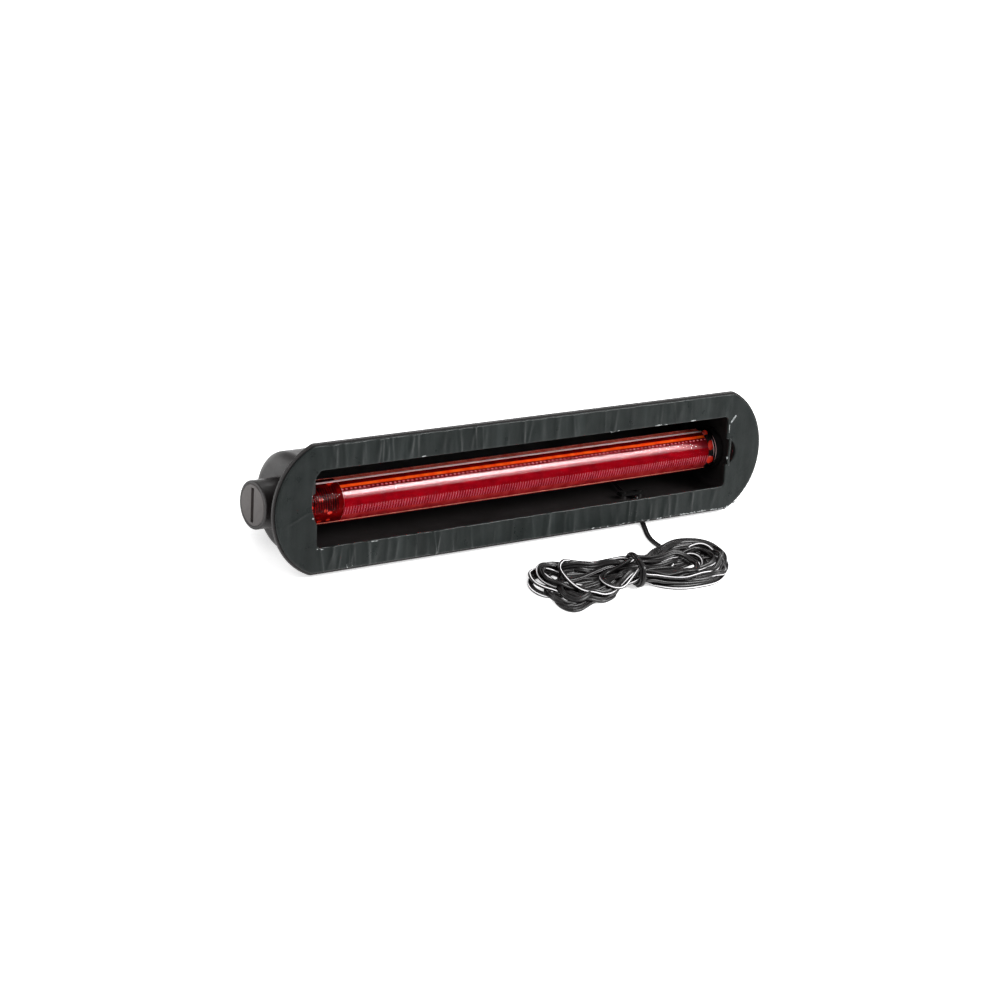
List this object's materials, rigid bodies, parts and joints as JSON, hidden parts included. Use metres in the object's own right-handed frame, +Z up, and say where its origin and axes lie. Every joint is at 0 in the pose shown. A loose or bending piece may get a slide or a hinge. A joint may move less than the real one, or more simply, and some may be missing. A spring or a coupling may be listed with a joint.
{
  "type": "third brake light",
  "caption": "Stick-on third brake light: flanged trough housing, red tube lamp that tilts on coin-slot pivot screws, foam adhesive face and a hanked twin lead.",
  "frame": {"origin": "bottom centre of the light's box, without its lead, as it stands leaning back on the round of its housing", "axes": "+X along the light, +Y away from the adhesive face, +Z up from the table; the adhesive face leans back 24.5 degrees"},
  "size_m": [0.382, 0.1492, 0.076],
  "materials": {
    "housing_black": "satin moulded",
    "foam_pad": "matte foam",
    "red_lens": "clear red, polished",
    "cap_black": "moulded",
    "reflector_white": "white",
    "clear_optic": "clear",
    "circuit_board": "white solder mask",
    "led": "clear",
    "chip": "matte",
    "solder": "bright",
    "rubber_black": "matte",
    "cord_black": "satin PVC",
    "steel": "plated",
    "screw_black": "satin moulded",
    "brass": "machined"
  },
  "bodies": {
    "housing": {"housing": "housing_black", "adhesive_pad": "foam_pad", "cord_grommet": "rubber_black", "cord_clamp": "cap_black", "clamp_screws": "steel", "inner_lead": "cord_black", "cord": "cord_black", "cord_hank": "cord_black"},
    "lamp": {"lens_tube": "red_lens", "left_end_cap": "cap_black", "right_end_cap": "cap_black", "reflector": "reflector_white", "optic_strip": "clear_optic", "led_board": "circuit_board", "leds": "led", "resistors": "chip", "polarity_diode": "chip", "solder_joints": "solder", "lamp_grommet": "rubber_black", "left_insert": "brass", "right_insert": "brass", "left_seal": "rubber_black", "right_seal": "rubber_black", "left_friction_ring": "rubber_black", "right_friction_ring": "rubber_black"},
    "left_washer": {"left_washer": "steel"},
    "left_screw": {"left_pivot_screw": "screw_black"},
    "right_washer": {"right_washer": "steel"},
    "right_screw": {"right_pivot_screw": "screw_black"}
  },
  "joints": [
    {"name": "lamp_tilt", "type": "hinge", "parent": "housing", "child": "lamp", "pos_m": [0, 0.00566, 0.02965], "axis": [1, 0, 0], "range_deg": [-35, 35], "deforming": ["inner_lead"]},
    {"name": "left_washer_travel", "type": "slide", "parent": "housing", "child": "left_washer", "axis": [-1, 0, 0], "range_m": [0, 0.00125]},
    {"name": "left_screw_turn", "type": "hinge", "parent": "left_washer", "child": "left_screw", "pos_m": [0, 0.00566, 0.02965], "axis": [-1, 0, 0], "range_deg": [0, 360]},
    {"name": "right_washer_travel", "type": "slide", "parent": "housing", "child": "right_washer", "axis": [1, 0, 0], "range_m": [0, 0.00125]},
    {"name": "right_screw_turn", "type": "hinge", "parent": "right_washer", "child": "right_screw", "pos_m": [0, 0.00566, 0.02965], "axis": [1, 0, 0], "range_deg": [0, 360]}
  ],
  "couplings": [
    {"joint": "left_screw_turn", "follows": "left_washer_travel", "rad_per_m": 5026.5},
    {"joint": "right_screw_turn", "follows": "right_washer_travel", "rad_per_m": 5026.5}
  ]
}
